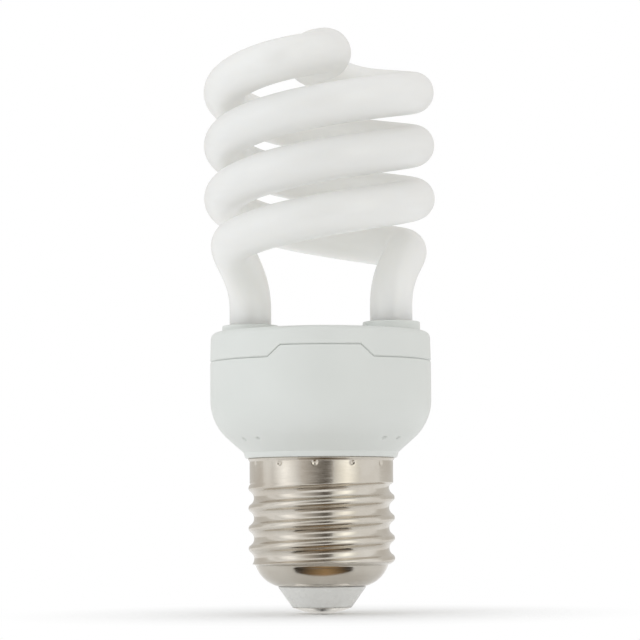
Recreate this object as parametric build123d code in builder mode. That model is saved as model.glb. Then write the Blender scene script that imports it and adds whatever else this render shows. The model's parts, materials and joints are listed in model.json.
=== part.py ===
from build123d import *
import os
from math import acos, atan2, cos, radians, sin, sqrt

# Spiral compact fluorescent lamp with an E27 screw cap, in millimetres.
# The lamp stands on its cap: Z is the lamp's axis, the origin is the lowest point of the
# centre contact, and the seam's raised tab faces -Y.

# Screw cap
contact_radius = 5.4
contact_dome = 1.2
contact_stem_radius = 1.5
stem_clearance = 0.05
insulator_cone_height = 3.8
insulator_top_radius = 8.05
insulator_flange_radius = 8.7
insulator_flange_height = 1.6
shell_sheet = 0.3
shell_hole_radius = 7.6
bowl_height = 3.9
bowl_bulge = (2.15, 1.15)
bowl_step = 0.17
thread_pitch = 3.629
thread_crest_radius = 13.15
thread_depth = 1.0
thread_crest_arc = 0.75
thread_length = 13.6
thread_phase_height = 0.95
thread_run_out = 0.6
thread_slit = 0.04
thread_bury = 0.5
core_step = 0.03
skirt_radius = 12.9
skirt_run_in = 0.9
skirt_height = 3.9
flange_radius = 13.6
flange_height = 0.6
crimp_count = 12
crimp_phase = -5.0
crimp_radius = 0.45
crimp_depth = 0.25
crimp_drop = 0.5

# Plastic housing and cover
wall = 1.3
body_radius = 19.9
lip_radius = 13.95
lip_draft = 0.3
lip_height = 1.0
bowl_corner_radius = 9.2
bowl_top_height = 9.4
housing_side_height = 6.8
tab_height = 2.05
tab_top_width = 14.0
tab_foot_width = 18.6
seam_gap = 0.1
seam_bevel = 0.25
cover_side_height = 4.1
cover_draft = 0.15
shoulder_radius = 1.2
dome_rise = 1.05
plug_wall = 1.1
plug_clearance = 0.1
plug_depth = 2.2
snap_drop = 1.0
snap_height = 0.9
snap_proud = 0.3
neck_wall = 1.3
neck_clearance = 0.12
neck_depth = 15.5
rib_count = 6
rib_width = 1.2
rib_reach = 1.9
rib_root = 0.65
rib_height = 5.0
vent_radius = 0.35
vent_height = 2.2
vent_angle = 49.0
vent_pair_angle = 13.0
notch_width = 2.0
crimp_groove_width = 1.8

# Spiral tube
tube_radius = 3.8
coil_radius = 17.1
strand_pitch = 19.4
leg_circle = 13.3
leg_angle = 17.0
leg_rise = 3.0
coil_rise = 9.93
join_angle = 30.0
coil_sweep = 565.0
crown_rise = 3.95
crown_angle = 40.0
crown_bulge = 1.0
crown_blend = 3.0
leg_bend_reach = 7.9
coil_start_reach = 5.9
coil_end_reach = 7.5
crown_reach = 7.5
foot_rounding = 1.8
collar_wall = 1.0
collar_height = 0.65
cement_thickness = 0.35
cement_clearance = 0.03
cement_recess = 0.5
collar_rounding = 0.3
socket_depth = 4.6
foot_overhang = 0.6

# Ballast
board_thickness = 1.2
board_clearance = 0.5
lead_radius = 0.3
filament_spacing = 2.4
wire_radius = 0.45
wire_clearance = 0.15
neck_wire_clearance = 0.43
live_bearing = 84.0
neutral_bearing = -77.0
live_turn_drop = 0.9
live_straight = 4.0
live_bend = 5.0
neutral_bend = 1.2
choke_place = (-6.6, 5.2)
choke_width = 10.4
choke_height = 9.0
choke_thickness = 4.8
choke_leg = 2.6
choke_yoke = 1.5
choke_drop = 0.6
bobbin_foot = 1.6
bobbin_wall = 0.5
bobbin_flange = 0.7
bobbin_reach = 2.0
choke_clearance = 0.1
reservoir_clearance = 1.15
reservoir_bearing = 29.5
reservoir_radius = 4.0
reservoir_height = 13.0
reservoir_standoff = 0.5
reservoir_rounding = 0.6
reservoir_groove = 0.35
reservoir_groove_drop = 2.4
toroid_inset = 5.8
toroid_bearing = -45.7
toroid_outer_radius = 4.0
toroid_inner_radius = 2.1
toroid_height = 3.6
toroid_wire = 0.45
toroid_turns = 9
transistor_inset = 4.0
transistor_bearings = (-103.8, -79.2)
transistor_radius = 2.3
transistor_flat = 1.2
transistor_height = 4.6
transistor_standoff = 2.0
transistor_lead_spacing = 1.27
resonant_inset = 6.0
resonant_bearing = -154.5
resonant_size = (3.8, 9.0, 7.5)
coupling_inset = 5.05
coupling_bearing = 15.1
coupling_size = (3.4, 7.0, 6.0)
film_rounding = 1.2
film_standoff = 0.5
film_lead_inset = 2.4
diode_place = (-3.0, -5.6)
diode_radius = 1.3
diode_length = 5.0
diode_spacing = 2.9
diode_count = 4
fuse_inset = 4.3
fuse_bearing = 93.3
fuse_radius = 1.2
fuse_length = 6.5
resistor_inset = 4.8
resistor_bearing = 54.0
resistor_radius = 0.85
resistor_length = 3.4
resistor_spacing = 2.4
resistor_count = 2
trigger_inset = 6.3
trigger_bearing = -10.2
trigger_radius = 0.8
trigger_length = 3.6
axial_standoff = 0.4
axial_lead_run = 1.1
axial_lead_bend = 0.6

# Heights along the axis
insulator_bottom = contact_dome
shell_bottom = insulator_bottom + insulator_cone_height
thread_bottom = shell_bottom + bowl_height
thread_top = thread_bottom + thread_length
skirt_bottom = thread_top + skirt_run_in
skirt_top = skirt_bottom + skirt_height
shell_top = skirt_top + flange_height
lip_top = shell_top + lip_height
bowl_top = lip_top + bowl_top_height
seam = bowl_top + housing_side_height
tab_top = seam + tab_height
shoulder = seam + cover_side_height
dome_edge = shoulder + shoulder_radius
dome_top = dome_edge + dome_rise
collar_top = dome_top + collar_height
leg_top = collar_top + leg_rise
coil_base = leg_top + coil_rise
plug_bottom = seam - plug_depth
board_top = plug_bottom
board_bottom = board_top - board_thickness
socket_bottom = collar_top - socket_depth
tube_foot = socket_bottom - foot_overhang
neck_bottom = shell_top - neck_depth

# Radii that follow from the fits
thread_root_radius = thread_crest_radius - thread_depth
inner_radius = body_radius - wall
plug_radius = inner_radius - plug_clearance
plug_inner_radius = plug_radius - plug_wall
board_radius = inner_radius - board_clearance
neck_radius = thread_root_radius - shell_sheet - neck_clearance
collar_radius = tube_radius + cement_thickness + collar_wall
socket_radius = tube_radius + cement_thickness
neck_inner_radius = neck_radius - neck_wall
crimp_seat_radius = skirt_radius - shell_sheet - neck_clearance


# Places of the ballast's parts, each a distance in from the board's edge or the neck's inside
def in_from(rim, inset, bearing):
    turn = radians(bearing)
    return ((rim - inset) * cos(turn), (rim - inset) * sin(turn))


live_place = in_from(neck_inner_radius, wire_radius + neck_wire_clearance, live_bearing)
neutral_place = in_from(neck_inner_radius, wire_radius + neck_wire_clearance, neutral_bearing)
reservoir_place = in_from(neck_inner_radius, reservoir_radius + reservoir_clearance, reservoir_bearing)
toroid_place = in_from(board_radius, toroid_inset, toroid_bearing)
transistor_places = [in_from(board_radius, transistor_inset, turn) for turn in transistor_bearings]
resonant_place = in_from(board_radius, resonant_inset, resonant_bearing)
coupling_place = in_from(board_radius, coupling_inset, coupling_bearing)
fuse_place = in_from(board_radius, fuse_inset, fuse_bearing)
resistor_place = in_from(board_radius, resistor_inset, resistor_bearing)
trigger_place = in_from(board_radius, trigger_inset, trigger_bearing)

os.makedirs("parts", exist_ok=True)


# Spiral tube: one strand from its leg to the crown, the same strand turned half round, and the blown
# swelling where they meet on the crown
def on_coil(angle):
    turn = radians(angle)
    height = coil_base + strand_pitch * (angle + 180) / 360
    return Vector(coil_radius * cos(turn), coil_radius * sin(turn), height)


def along_coil(angle):
    turn = radians(angle)
    climb = strand_pitch / radians(360)
    return Vector(-coil_radius * sin(turn), coil_radius * cos(turn), climb).normalized()


coil_start_angle = join_angle - 180
coil_end_angle = coil_start_angle + coil_sweep
coil_start = on_coil(coil_start_angle)
coil_end = on_coil(coil_end_angle)
leg_x = -leg_circle * cos(radians(leg_angle))
leg_y = leg_circle * sin(radians(leg_angle))
leg_end = Vector(leg_x, leg_y, leg_top)
crown = Vector(0, 0, coil_end.Z + crown_rise)
crown_run = Vector(sin(radians(crown_angle)), -cos(radians(crown_angle)), 0)

with BuildLine() as leg_line:
    Line((leg_x, leg_y, tube_foot), leg_end)
    Bezier(
        leg_end,
        leg_end + Vector(0, 0, leg_bend_reach),
        coil_start - along_coil(coil_start_angle) * coil_start_reach,
        coil_start,
    )

with BuildLine() as coil_line:
    coil = Helix(
        strand_pitch,
        strand_pitch * coil_sweep / 360,
        coil_radius,
        center=(0, 0, coil_start.Z),
        mode=Mode.PRIVATE,
    )
    add(coil.rotate(Axis.Z, coil_start_angle))

with BuildLine() as crown_line:
    Bezier(
        coil_end,
        coil_end + along_coil(coil_end_angle) * coil_end_reach,
        crown - crown_run * crown_reach,
        crown,
    )

crown_ball = tube_radius + crown_bulge


def on_crown_ball(edge):
    return all(abs((edge @ share - crown).length - crown_ball) < cement_clearance for share in (0.2, 0.7))


with BuildPart() as spiral_tube:
    with BuildSketch(Plane.XY.offset(tube_foot)):
        with Locations((leg_x, leg_y)):
            Circle(tube_radius)
    sweep(path=leg_line.edges() + coil_line.edges() + crown_line.edges())
    fillet(spiral_tube.edges().group_by(Axis.Z)[0], foot_rounding)
    add(spiral_tube.part.rotate(Axis.Z, 180))
    with Locations(crown):
        Sphere(crown_ball)
    swelling = spiral_tube.edges().filter_by(GeomType.CIRCLE, reverse=True).filter_by(on_crown_ball)
    fillet(swelling, crown_blend)
spiral_tube.part.label = "spiral_tube"
export_step(spiral_tube.part, "parts/spiral_tube.step")


# Cement rings that hold the legs in their collars
leg_places = ((leg_x, leg_y), (-leg_x, -leg_y))
with BuildPart() as tube_cement:
    with BuildSketch(Plane.XY.offset(socket_bottom)):
        with Locations(*leg_places):
            Circle(socket_radius - cement_clearance)
            Circle(tube_radius + cement_clearance, mode=Mode.SUBTRACT)
    extrude(amount=socket_depth - cement_recess)
tube_cement.part.label = "tube_cement"
export_step(tube_cement.part, "parts/tube_cement.step")


# Everything above the seam: level all round, raised over a tab at the front and the back
def above_seam(gap):
    reach = body_radius + wall
    with BuildPart() as above:
        with BuildSketch(Plane.XZ):
            with BuildLine():
                Polyline(
                    (-reach, seam + gap),
                    (-tab_foot_width / 2, seam + gap),
                    (-tab_top_width / 2, tab_top + gap),
                    (tab_top_width / 2, tab_top + gap),
                    (tab_foot_width / 2, seam + gap),
                    (reach, seam + gap),
                    (reach, leg_top),
                    (-reach, leg_top),
                    close=True,
                )
            make_face()
        extrude(amount=reach, both=True)
    return above.part


# Upper cover: drafted side, low dome, a collar and socket for each leg, and a plug with a snap bead
snap_middle = seam - snap_drop
cover_rim_radius = body_radius - cover_draft


def on_cover_seam(edge):
    def at_seam(point):
        drawn_in = cover_draft * (point.Z - seam) / (dome_edge - seam)
        outside = abs(Vector(point.X, point.Y).length - body_radius + drawn_in) < seam_gap
        return outside and point.Z < tab_top + 2 * seam_gap

    return all(at_seam(edge @ share) for share in (0, 0.5, 1))


with BuildPart() as below_seam:
    with BuildSketch(Plane.XY.offset(seam - seam_gap)):
        Circle(body_radius + wall)
        Circle(plug_radius, mode=Mode.SUBTRACT)
    extrude(amount=tab_height + wall)
    add(above_seam(seam_gap), mode=Mode.SUBTRACT)

with BuildPart() as tube_cover:
    with BuildSketch(Plane.XZ):
        with BuildLine():
            Polyline(
                (0, dome_top - wall),
                (0, dome_top),
            )
            TangentArc((0, dome_top), (cover_rim_radius, dome_edge), tangent=(1, 0))
            Polyline(
                (cover_rim_radius, dome_edge),
                (body_radius, seam),
                (plug_radius, seam),
                (plug_radius, snap_middle + snap_height / 2),
                (plug_radius + snap_proud, snap_middle),
                (plug_radius, snap_middle - snap_height / 2),
                (plug_radius, plug_bottom),
                (plug_inner_radius, plug_bottom),
                (plug_inner_radius, dome_edge - wall),
            )
            TangentArc((0, dome_top - wall), (plug_inner_radius, dome_edge - wall), tangent=(1, 0))
        make_face()
    revolve(axis=Axis.Z)
    rim = tube_cover.edges().filter_by(GeomType.CIRCLE).sort_by(Axis.Z)
    fillet([edge for edge in rim if abs(edge.radius - cover_rim_radius) < seam_gap], shoulder_radius)
    with BuildSketch(Plane.XY.offset(socket_bottom)):
        with Locations(*leg_places):
            Circle(collar_radius)
    extrude(amount=socket_depth)
    collar_tops = tube_cover.faces().filter_by(Axis.Z).group_by(Axis.Z)[-1]
    fillet(collar_tops.edges(), collar_rounding)
    with BuildSketch(Plane.XY.offset(socket_bottom)):
        with Locations(*leg_places):
            Circle(socket_radius)
    extrude(amount=socket_depth, mode=Mode.SUBTRACT)
    add(below_seam.part, mode=Mode.SUBTRACT)
    chamfer(tube_cover.edges().filter_by(on_cover_seam), seam_bevel)
tube_cover.part.label = "tube_cover"
export_step(tube_cover.part, "parts/tube_cover.step")


# Lower housing: lip and neck for the cap, bowl, side with a seam tab, ledges for the board
corner_middle = body_radius - bowl_corner_radius
to_lip = (lip_radius - corner_middle, lip_top - bowl_top)
lip_distance = sqrt(to_lip[0] ** 2 + to_lip[1] ** 2)
bowl_angle = atan2(to_lip[1], to_lip[0]) + acos(bowl_corner_radius / lip_distance)


def bowl_turn(radius):
    return (corner_middle + radius * cos(bowl_angle), bowl_top + radius * sin(bowl_angle))


outer_turn = bowl_turn(bowl_corner_radius)
inner_turn = bowl_turn(bowl_corner_radius - wall)
bowl_slope = (outer_turn[1] - lip_top) / (outer_turn[0] - lip_radius)
neck_mouth = inner_turn[1] - bowl_slope * (inner_turn[0] - neck_inner_radius)
crimp_height = skirt_top - crimp_drop
crimp_groove_radius = crimp_seat_radius - crimp_depth
snap_space = snap_height / 2 + plug_clearance
vent_circle = lip_radius + vent_height / bowl_slope

with BuildPart() as ballast_housing:
    with BuildSketch(Plane.XZ):
        with BuildLine():
            Polyline(
                (neck_inner_radius, neck_mouth),
                (neck_inner_radius, neck_bottom),
                (neck_radius, neck_bottom),
                (neck_radius, skirt_bottom + neck_clearance),
                (crimp_seat_radius, skirt_bottom + skirt_run_in),
                (crimp_seat_radius, crimp_height - crimp_groove_width / 2),
                (crimp_groove_radius, crimp_height - crimp_groove_width / 4),
                (crimp_groove_radius, crimp_height + crimp_groove_width / 4),
                (crimp_seat_radius, crimp_height + crimp_groove_width / 2),
                (crimp_seat_radius, shell_top),
                (lip_radius - lip_draft, shell_top),
                (lip_radius, lip_top),
                outer_turn,
            )
            TangentArc((body_radius, bowl_top), outer_turn, tangent=(0, -1))
            Polyline(
                (body_radius, bowl_top),
                (body_radius, collar_top),
                (inner_radius, collar_top),
                (inner_radius, snap_middle + snap_space),
                (inner_radius + snap_proud, snap_middle),
                (inner_radius, snap_middle - snap_space),
                (inner_radius, bowl_top),
            )
            TangentArc((inner_radius, bowl_top), inner_turn, tangent=(0, -1))
            Line(inner_turn, (neck_inner_radius, neck_mouth))
        make_face()
    revolve(axis=Axis.Z)
    with BuildSketch(Plane.XY.offset(board_bottom - rib_height)):
        with PolarLocations(inner_radius + (rib_root - rib_reach) / 2, rib_count):
            Rectangle(rib_reach + rib_root, rib_width)
    extrude(amount=rib_height)
    add(above_seam(0), mode=Mode.SUBTRACT)
    with BuildSketch(Plane.XY.offset(lip_top)):
        for side in (90, 270):
            for turn in (-vent_angle, vent_angle):
                first = side + turn - vent_pair_angle / 2
                with PolarLocations(vent_circle, 2, first, 2 * vent_pair_angle):
                    Circle(vent_radius)
    extrude(amount=bowl_top_height, mode=Mode.SUBTRACT)
    with BuildSketch(Plane.XY.offset(neck_bottom)):
        with PolarLocations(neck_radius - neck_wall / 2, 1, start_angle=neutral_bearing):
            Rectangle(2 * neck_wall, notch_width)
    extrude(amount=notch_width, mode=Mode.SUBTRACT)
ballast_housing.part.label = "ballast_housing"
export_step(ballast_housing.part, "parts/ballast_housing.step")


# Screw shell: pressed sheet with a rolled thread, an outer form less the same form one sheet inside
thread_arcs = ((thread_pitch / 2) ** 2 + thread_depth**2) / (2 * thread_depth)
thread_root_arc = thread_arcs - thread_crest_arc
thread_start = thread_bottom + thread_phase_height - thread_pitch
thread_climb = skirt_bottom + skirt_height / 2 - thread_start
flank = thread_pitch / 2 * thread_crest_arc / thread_arcs
ridge_half = thread_pitch / 2 - thread_slit
crimp_ball = (crimp_radius**2 + crimp_depth**2) / (2 * crimp_depth)


def rolled_radius(along):
    # The rolled profile is a narrow crest arc and a wider root arc, tangent on the flank
    if along < flank:
        return thread_crest_radius - thread_crest_arc + sqrt(thread_crest_arc**2 - along**2)
    return thread_root_radius + thread_root_arc - sqrt(thread_root_arc**2 - (thread_pitch / 2 - along) ** 2)


def thread_ridge(inset):
    # One turn of the wave is carried up a helix, with straight sides that go down into the core
    def on_ridge(along):
        return (rolled_radius(abs(along)) - inset, thread_start + along)

    foot_radius = thread_root_radius - inset - thread_bury
    root_middle = (flank + ridge_half) / 2
    with BuildPart() as ridge:
        with BuildLine() as climb:
            Helix(thread_pitch, thread_climb, thread_crest_radius, center=(0, 0, thread_start))
        with BuildSketch(Plane.XZ):
            with BuildLine():
                ThreePointArc(on_ridge(-flank), on_ridge(0), on_ridge(flank))
                ThreePointArc(on_ridge(flank), on_ridge(root_middle), on_ridge(ridge_half))
                ThreePointArc(on_ridge(-flank), on_ridge(-root_middle), on_ridge(-ridge_half))
                Polyline(
                    on_ridge(ridge_half),
                    (foot_radius, thread_start + ridge_half),
                    (foot_radius, thread_start - ridge_half),
                    on_ridge(-ridge_half),
                )
            make_face()
        sweep(path=climb.line, is_frenet=True)
    return ridge.part


def cap_form(inset):
    with BuildPart() as thread:
        add(thread_ridge(inset))
        run_out_foot = thread_root_radius - inset - thread_bury - thread_run_out
        run_out_rim = thread_crest_radius - inset + thread_run_out
        with BuildSketch(Plane.XZ):
            with BuildLine():
                Polyline(
                    (0, thread_bottom - thread_run_out),
                    (run_out_foot, thread_bottom - thread_run_out),
                    (run_out_rim, thread_bottom + thread_run_out),
                    (run_out_rim, thread_top - thread_run_out),
                    (run_out_foot, skirt_bottom + thread_run_out),
                    (0, skirt_bottom + thread_run_out),
                    close=True,
                )
            make_face()
        revolve(axis=Axis.Z, mode=Mode.INTERSECT)
    with BuildPart() as form:
        bowl_start = (insulator_top_radius, shell_bottom + inset)
        bowl_middle = (
            bowl_start[0] + bowl_bulge[0] - inset / 2,
            bowl_start[1] + bowl_bulge[1] - inset / 2,
        )
        bowl_end = (thread_root_radius - bowl_step - inset, thread_bottom)
        core_radius = thread_root_radius - core_step - inset
        with BuildSketch(Plane.XZ):
            with BuildLine():
                Polyline((0, shell_top), (0, shell_bottom + inset), bowl_start)
                ThreePointArc(bowl_start, bowl_middle, bowl_end)
                Polyline(
                    bowl_end,
                    (core_radius, thread_bottom),
                    (core_radius, thread_top),
                    (skirt_radius - inset, skirt_bottom),
                    (skirt_radius - inset, skirt_top),
                    (flange_radius - inset, shell_top),
                    (0, shell_top),
                )
            make_face()
        revolve(axis=Axis.Z)
        add(thread.part)
        with Locations((0, 0, crimp_height)):
            with PolarLocations(skirt_radius + crimp_ball - crimp_depth, crimp_count, crimp_phase):
                Sphere(crimp_ball + inset, mode=Mode.SUBTRACT)
    return form.part


with BuildPart() as screw_shell:
    add(cap_form(0))
    add(cap_form(shell_sheet), mode=Mode.SUBTRACT)
    with BuildSketch(Plane.XY.offset(shell_bottom)):
        Circle(shell_hole_radius)
    extrude(amount=bowl_height, mode=Mode.SUBTRACT)
screw_shell.part.label = "screw_shell"
export_step(screw_shell.part, "parts/screw_shell.step")


# Insulator: cone below the shell, waist through its hole and a flange that sits inside on the sheet
shell_floor = shell_bottom + shell_sheet
insulator_top = shell_floor + insulator_flange_height
flange_foot_radius = insulator_top_radius - shell_sheet
stem_hole_radius = contact_stem_radius + stem_clearance

with BuildPart() as base_insulator:
    with BuildSketch(Plane.XZ):
        with BuildLine():
            Polyline(
                (stem_hole_radius, insulator_bottom),
                (contact_radius, insulator_bottom),
                (insulator_top_radius, shell_bottom),
                (shell_hole_radius - stem_clearance, shell_bottom),
                (shell_hole_radius - stem_clearance, shell_floor),
                (flange_foot_radius, shell_floor),
                (insulator_flange_radius, shell_floor + insulator_flange_radius - flange_foot_radius),
                (insulator_flange_radius, insulator_top),
                (stem_hole_radius, insulator_top),
                close=True,
            )
        make_face()
    revolve(axis=Axis.Z)
base_insulator.part.label = "base_insulator"
export_step(base_insulator.part, "parts/base_insulator.step")

# Centre contact: domed plate on a hollow stem that takes the live wire
stem_top = insulator_top + contact_dome
stem_bore = wire_radius + wire_clearance

with BuildPart() as centre_contact:
    with BuildSketch(Plane.XZ):
        with BuildLine():
            TangentArc((0, 0), (contact_radius, contact_dome), tangent=(1, 0))
            Polyline(
                (contact_radius, contact_dome),
                (contact_stem_radius, contact_dome),
                (contact_stem_radius, stem_top),
                (stem_bore, stem_top),
                (stem_bore, contact_dome),
                (0, contact_dome),
                (0, 0),
            )
        make_face()
    revolve(axis=Axis.Z)
centre_contact.part.label = "centre_contact"
export_step(centre_contact.part, "parts/centre_contact.step")

# Circuit board, held between the housing's ledges and the cover's plug
with BuildPart() as circuit_board:
    with BuildSketch(Plane.XY.offset(board_bottom)):
        Circle(board_radius)
    extrude(amount=board_thickness)
circuit_board.part.label = "circuit_board"
export_step(circuit_board.part, "parts/circuit_board.step")

# Filament leads from each end of the tube down to the board
with BuildPart() as filament_leads:
    with BuildSketch(Plane.XY.offset(board_top)):
        with Locations(*leg_places):
            with PolarLocations(filament_spacing / 2, 2):
                Circle(lead_radius)
    extrude(amount=tube_foot - board_top)
filament_leads.part.label = "filament_leads"
export_step(filament_leads.part, "parts/filament_leads.step")

# Live wire from the board to the contact's stem, neutral wire through the neck's notch to the shell
with BuildPart() as live_wire:
    with BuildLine() as live_path:
        FilletPolyline(
            (*live_place, board_bottom),
            (*live_place, shell_top - live_turn_drop),
            (0, 0, stem_top + live_straight),
            (0, 0, contact_dome),
            radius=live_bend,
        )
    with BuildSketch(Plane.XY.offset(board_bottom)):
        with Locations(live_place):
            Circle(wire_radius)
    sweep(path=live_path.line)
live_wire.part.label = "live_wire"
export_step(live_wire.part, "parts/live_wire.step")

neutral_turn = neck_bottom + notch_width / 2
neutral_rim = thread_root_radius - shell_sheet

with BuildPart() as neutral_wire:
    with BuildLine() as neutral_path:
        FilletPolyline(
            (*neutral_place, board_bottom),
            (*neutral_place, neutral_turn),
            (*in_from(neutral_rim, wire_clearance, neutral_bearing), neutral_turn),
            radius=neutral_bend,
        )
    with BuildSketch(Plane.XY.offset(board_bottom)):
        with Locations(neutral_place):
            Circle(wire_radius)
    sweep(path=neutral_path.line)
neutral_wire.part.label = "neutral_wire"
export_step(neutral_wire.part, "parts/neutral_wire.step")

# Choke: ferrite core of two E halves, bobbin on its middle leg, copper winding on the bobbin
choke_top = board_bottom - choke_drop
window_height = choke_height - 2 * choke_yoke
window_width = (choke_width - choke_leg) / 2 - choke_yoke
core_middle = choke_top - choke_height / 2
choke_plane = Plane(origin=(*choke_place, core_middle), x_dir=(1, 0, 0), z_dir=(0, -1, 0))
bobbin_hole = (choke_leg + 2 * choke_clearance, choke_thickness + 2 * choke_clearance)
bobbin_tube = (bobbin_hole[0] + 2 * bobbin_wall, bobbin_hole[1] + 2 * bobbin_wall)
flange_size = (choke_leg + 2 * window_width - 2 * choke_clearance, choke_thickness + 2 * bobbin_reach)
bobbin_height = window_height - 2 * choke_clearance
winding_height = bobbin_height - 2 * bobbin_flange

with BuildPart() as choke_core:
    with BuildSketch(choke_plane):
        Rectangle(choke_width, choke_height)
        with GridLocations(choke_leg + window_width, 0, 2, 1):
            Rectangle(window_width, window_height, mode=Mode.SUBTRACT)
    extrude(amount=choke_thickness / 2, both=True)
choke_core.part.label = "choke_core"
export_step(choke_core.part, "parts/choke_core.step")

with BuildPart() as choke_bobbin:
    with BuildSketch(Plane((*choke_place, core_middle - bobbin_height / 2))):
        Rectangle(*flange_size)
    extrude(amount=bobbin_flange)
    with BuildSketch(Plane((*choke_place, core_middle + winding_height / 2))):
        Rectangle(*flange_size)
    extrude(amount=bobbin_flange)
    with BuildSketch(Plane((*choke_place, core_middle - bobbin_height / 2))):
        Rectangle(*bobbin_tube)
    extrude(amount=bobbin_height)
    with BuildSketch(Plane((*choke_place, core_middle + winding_height / 2))):
        with GridLocations(0, flange_size[1] - bobbin_foot, 1, 2):
            Rectangle(flange_size[0], bobbin_foot)
    extrude(until=Until.NEXT, target=circuit_board.part)
    with BuildSketch(Plane((*choke_place, core_middle - bobbin_height / 2))):
        Rectangle(*bobbin_hole)
    extrude(amount=bobbin_height, mode=Mode.SUBTRACT)
choke_bobbin.part.label = "choke_bobbin"
export_step(choke_bobbin.part, "parts/choke_bobbin.step")

with BuildPart() as choke_winding:
    with BuildSketch(Plane((*choke_place, core_middle - winding_height / 2))):
        RectangleRounded(
            flange_size[0] - bobbin_wall,
            flange_size[1] - bobbin_wall,
            bobbin_wall,
        )
        Rectangle(*bobbin_tube, mode=Mode.SUBTRACT)
    extrude(amount=winding_height)
choke_winding.part.label = "choke_winding"
export_step(choke_winding.part, "parts/choke_winding.step")

# Reservoir capacitor: sleeved can with a rolled groove, hanging into the neck
reservoir_top = board_bottom - reservoir_standoff
groove_height = reservoir_top - reservoir_groove_drop

with BuildPart() as reservoir_capacitor:
    with BuildSketch(Plane((*reservoir_place, reservoir_top - reservoir_height))):
        Circle(reservoir_radius)
    extrude(amount=reservoir_height)
    ends = reservoir_capacitor.edges().filter_by(GeomType.CIRCLE)
    fillet(ends, reservoir_rounding)
    with BuildSketch(Plane((*reservoir_place, groove_height))):
        Circle(reservoir_radius)
        Circle(reservoir_radius - reservoir_groove, mode=Mode.SUBTRACT)
    extrude(amount=2 * reservoir_groove, mode=Mode.SUBTRACT)
    with BuildSketch(Plane((*reservoir_place, reservoir_top))):
        with GridLocations(reservoir_radius, 0, 2, 1):
            Circle(lead_radius)
    extrude(amount=reservoir_standoff)
reservoir_capacitor.part.label = "reservoir_capacitor"
export_step(reservoir_capacitor.part, "parts/reservoir_capacitor.step")

# Drive transformer: ferrite ring wound with loops of wire that lie against the board
toroid_skin = toroid_wire + choke_clearance
toroid_top = board_bottom - toroid_skin
toroid_depth = toroid_outer_radius - toroid_inner_radius
toroid_middle = toroid_top - toroid_height / 2

with BuildPart() as drive_toroid:
    with BuildSketch(Plane((*toroid_place, toroid_top - toroid_height))):
        Circle(toroid_outer_radius)
        Circle(toroid_inner_radius, mode=Mode.SUBTRACT)
    extrude(amount=toroid_height)
drive_toroid.part.label = "drive_toroid"
export_step(drive_toroid.part, "parts/drive_toroid.step")

with BuildPart() as toroid_turn:
    with BuildSketch(Plane.XZ):
        with Locations((toroid_inner_radius + toroid_depth / 2, 0)):
            Rectangle(toroid_depth + 2 * toroid_skin, toroid_height + 2 * toroid_skin)
            Rectangle(
                toroid_depth + 2 * choke_clearance,
                toroid_height + 2 * choke_clearance,
                mode=Mode.SUBTRACT,
            )
    extrude(amount=toroid_wire / 2, both=True)

with BuildPart() as toroid_windings:
    with Locations((*toroid_place, toroid_middle)):
        with PolarLocations(0, toroid_turns):
            add(toroid_turn.part)
toroid_windings.part.label = "toroid_windings"
export_step(toroid_windings.part, "parts/toroid_windings.step")

# Switching transistors: half-round bodies on three legs each
with BuildPart() as transistors:
    with BuildSketch(Plane.XY.offset(board_bottom - transistor_standoff)):
        with Locations(*transistor_places):
            Circle(transistor_radius)
    extrude(amount=-transistor_height)
    with BuildSketch(Plane.XY.offset(board_bottom - transistor_standoff)):
        with Locations(*transistor_places):
            with Locations((0, transistor_flat + transistor_radius)):
                Rectangle(2 * transistor_radius, 2 * transistor_radius)
    extrude(amount=-transistor_height, mode=Mode.SUBTRACT)
    with BuildSketch(Plane.XY.offset(board_bottom - transistor_standoff)):
        with Locations(*transistor_places):
            with GridLocations(transistor_lead_spacing, 0, 3, 1):
                Circle(lead_radius)
    extrude(amount=transistor_standoff)
transistors.part.label = "transistors"
export_step(transistors.part, "parts/transistors.step")


# Film capacitors: dipped blocks with rounded edges on two leads
def film_capacitor(place, size):
    with BuildPart() as capacitor:
        with BuildSketch(Plane((*place, board_bottom - film_standoff))):
            Rectangle(size[0], size[1])
        extrude(amount=-size[2])
        fillet(capacitor.edges(), film_rounding)
        with BuildSketch(Plane((*place, board_bottom - film_standoff - film_rounding))):
            with GridLocations(0, size[1] - 2 * film_lead_inset, 1, 2):
                Circle(lead_radius)
        extrude(amount=film_standoff + film_rounding)
    return capacitor.part


with BuildPart() as resonant_capacitor:
    add(film_capacitor(resonant_place, resonant_size))
resonant_capacitor.part.label = "resonant_capacitor"
export_step(resonant_capacitor.part, "parts/resonant_capacitor.step")

with BuildPart() as coupling_capacitor:
    add(film_capacitor(coupling_place, coupling_size))
coupling_capacitor.part.label = "coupling_capacitor"
export_step(coupling_capacitor.part, "parts/coupling_capacitor.step")


# Axial parts: a round body on a wire that is bent up into the board at both ends
def axial_part(radius, length):
    hang = axial_standoff + radius
    reach = length / 2 + axial_lead_run
    with BuildPart() as axial:
        with BuildLine() as lead:
            FilletPolyline(
                (-reach, 0, 0),
                (-reach, 0, -hang),
                (reach, 0, -hang),
                (reach, 0, 0),
                radius=axial_lead_bend,
            )
        with BuildSketch(Plane.XY):
            with Locations((-reach, 0)):
                Circle(lead_radius)
        sweep(path=lead.line)
        with BuildSketch(Plane.YZ):
            with Locations((0, -hang)):
                Circle(radius)
        extrude(amount=length / 2, both=True)
    return axial.part


def axial_row(place, spacing, count, radius, length):
    with BuildPart() as row:
        with Locations((*place, board_bottom)):
            with GridLocations(0, spacing, 1, count):
                add(axial_part(radius, length))
    return row.part


with BuildPart() as rectifier_diodes:
    add(axial_row(diode_place, diode_spacing, diode_count, diode_radius, diode_length))
rectifier_diodes.part.label = "rectifier_diodes"
export_step(rectifier_diodes.part, "parts/rectifier_diodes.step")

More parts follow.
